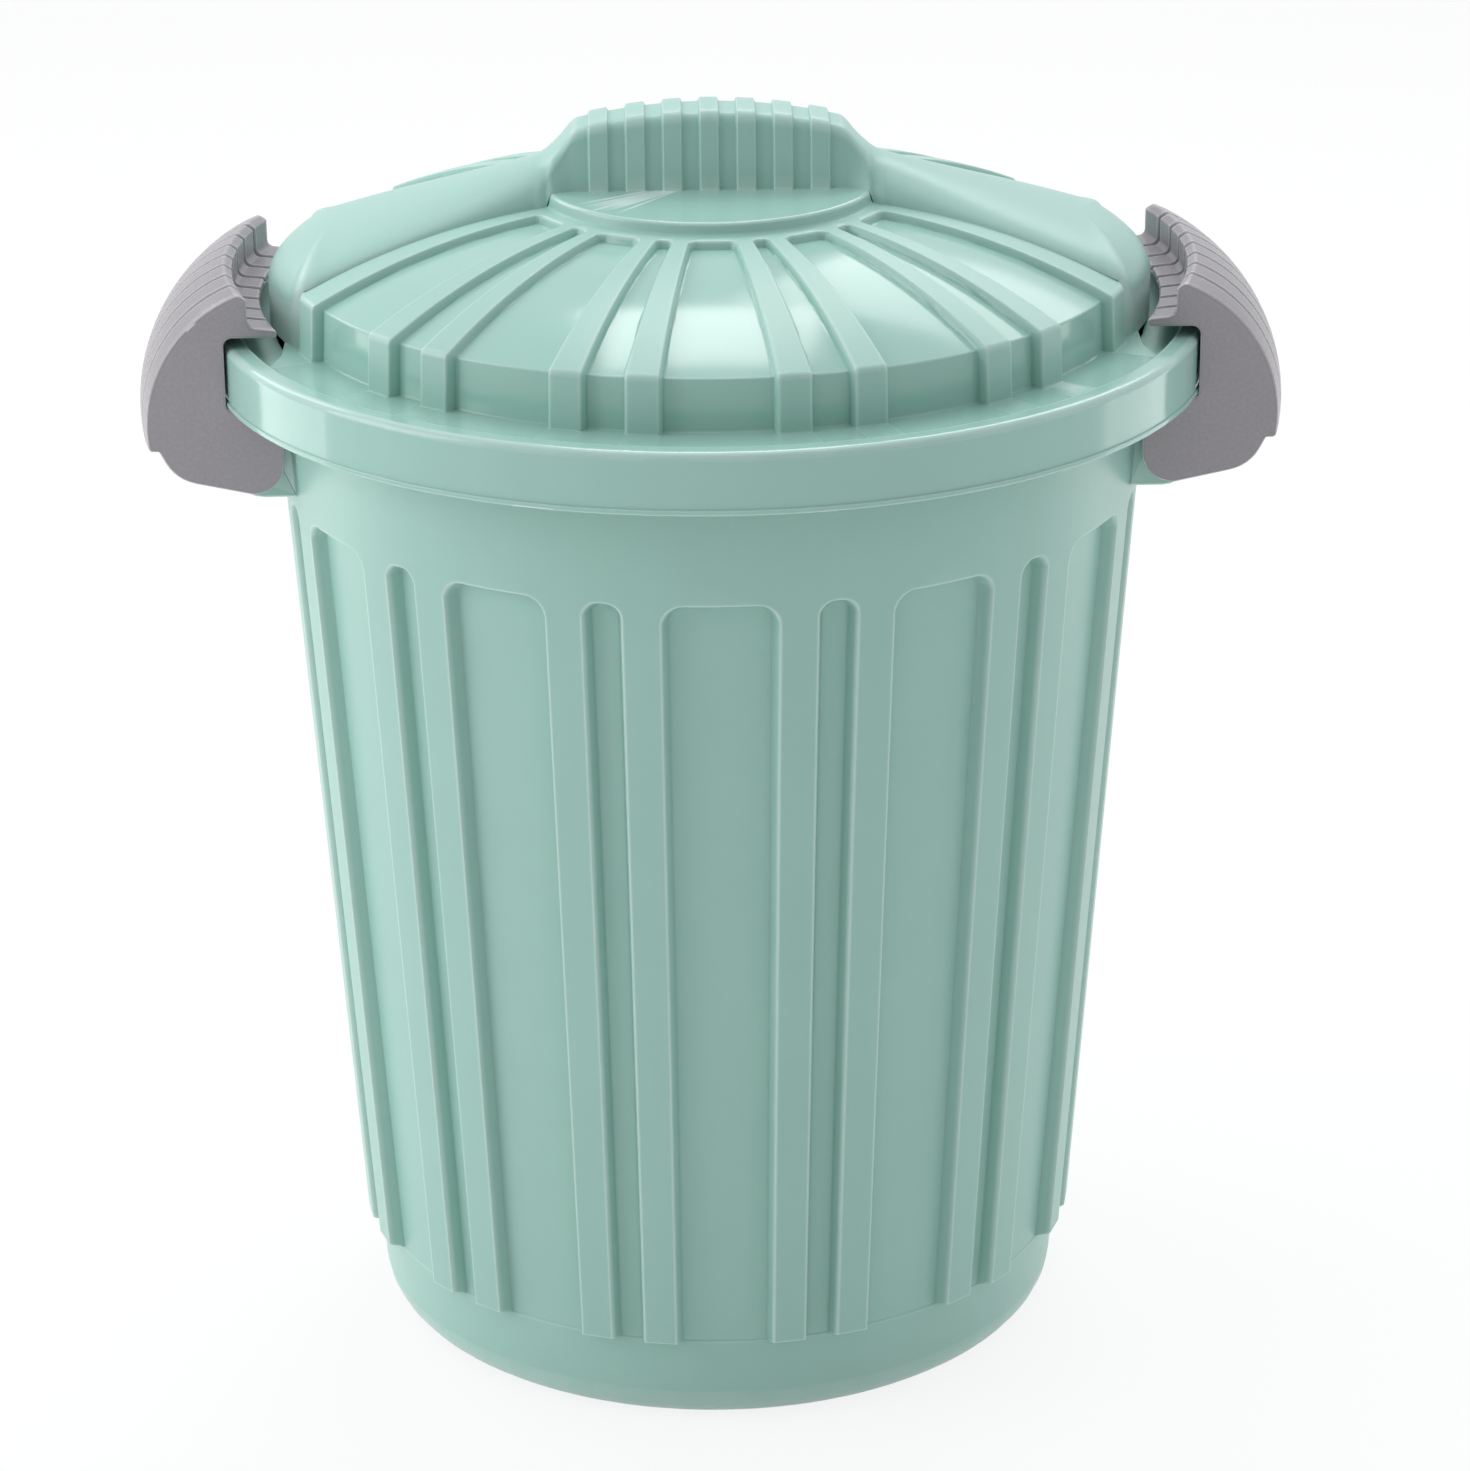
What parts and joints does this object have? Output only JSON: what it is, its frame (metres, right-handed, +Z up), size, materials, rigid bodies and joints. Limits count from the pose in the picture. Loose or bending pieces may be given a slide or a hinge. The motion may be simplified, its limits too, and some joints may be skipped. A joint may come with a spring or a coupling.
{
  "type": "lidded household bin",
  "caption": "Round ribbed household bin with a domed lift-off lid and clip handles that swing over the rim.",
  "frame": {"origin": "centre of the bin's base, on the floor", "axes": "+Z up along the bin's axis, handles along the X axis, front towards -Y"},
  "size_m": [0.462, 0.3998, 0.5156],
  "materials": {
    "green_plastic": "satin gloss",
    "grey_plastic": "fine satin",
    "pin_steel": "plain drawn rod"
  },
  "bodies": {
    "bin_body": {"bin": "green_plastic", "left_pin": "pin_steel", "right_pin": "pin_steel"},
    "lid_body": {"lid": "green_plastic"},
    "left_handle_body": {"left_handle": "grey_plastic"},
    "right_handle_body": {"right_handle": "grey_plastic"}
  },
  "joints": [
    {"name": "lid_lift", "type": "slide", "parent": "bin_body", "child": "lid_body", "axis": [0, 0, 1], "range_m": [0, 0.25]},
    {"name": "left_handle_swing", "type": "hinge", "parent": "bin_body", "child": "left_handle_body", "pos_m": [-0.183, 0, 0.3872], "axis": [0, -1, 0], "range_deg": [0, 108]},
    {"name": "right_handle_swing", "type": "hinge", "parent": "bin_body", "child": "right_handle_body", "pos_m": [0.183, 0, 0.3872], "axis": [0, 1, 0], "range_deg": [0, 108]}
  ]
}
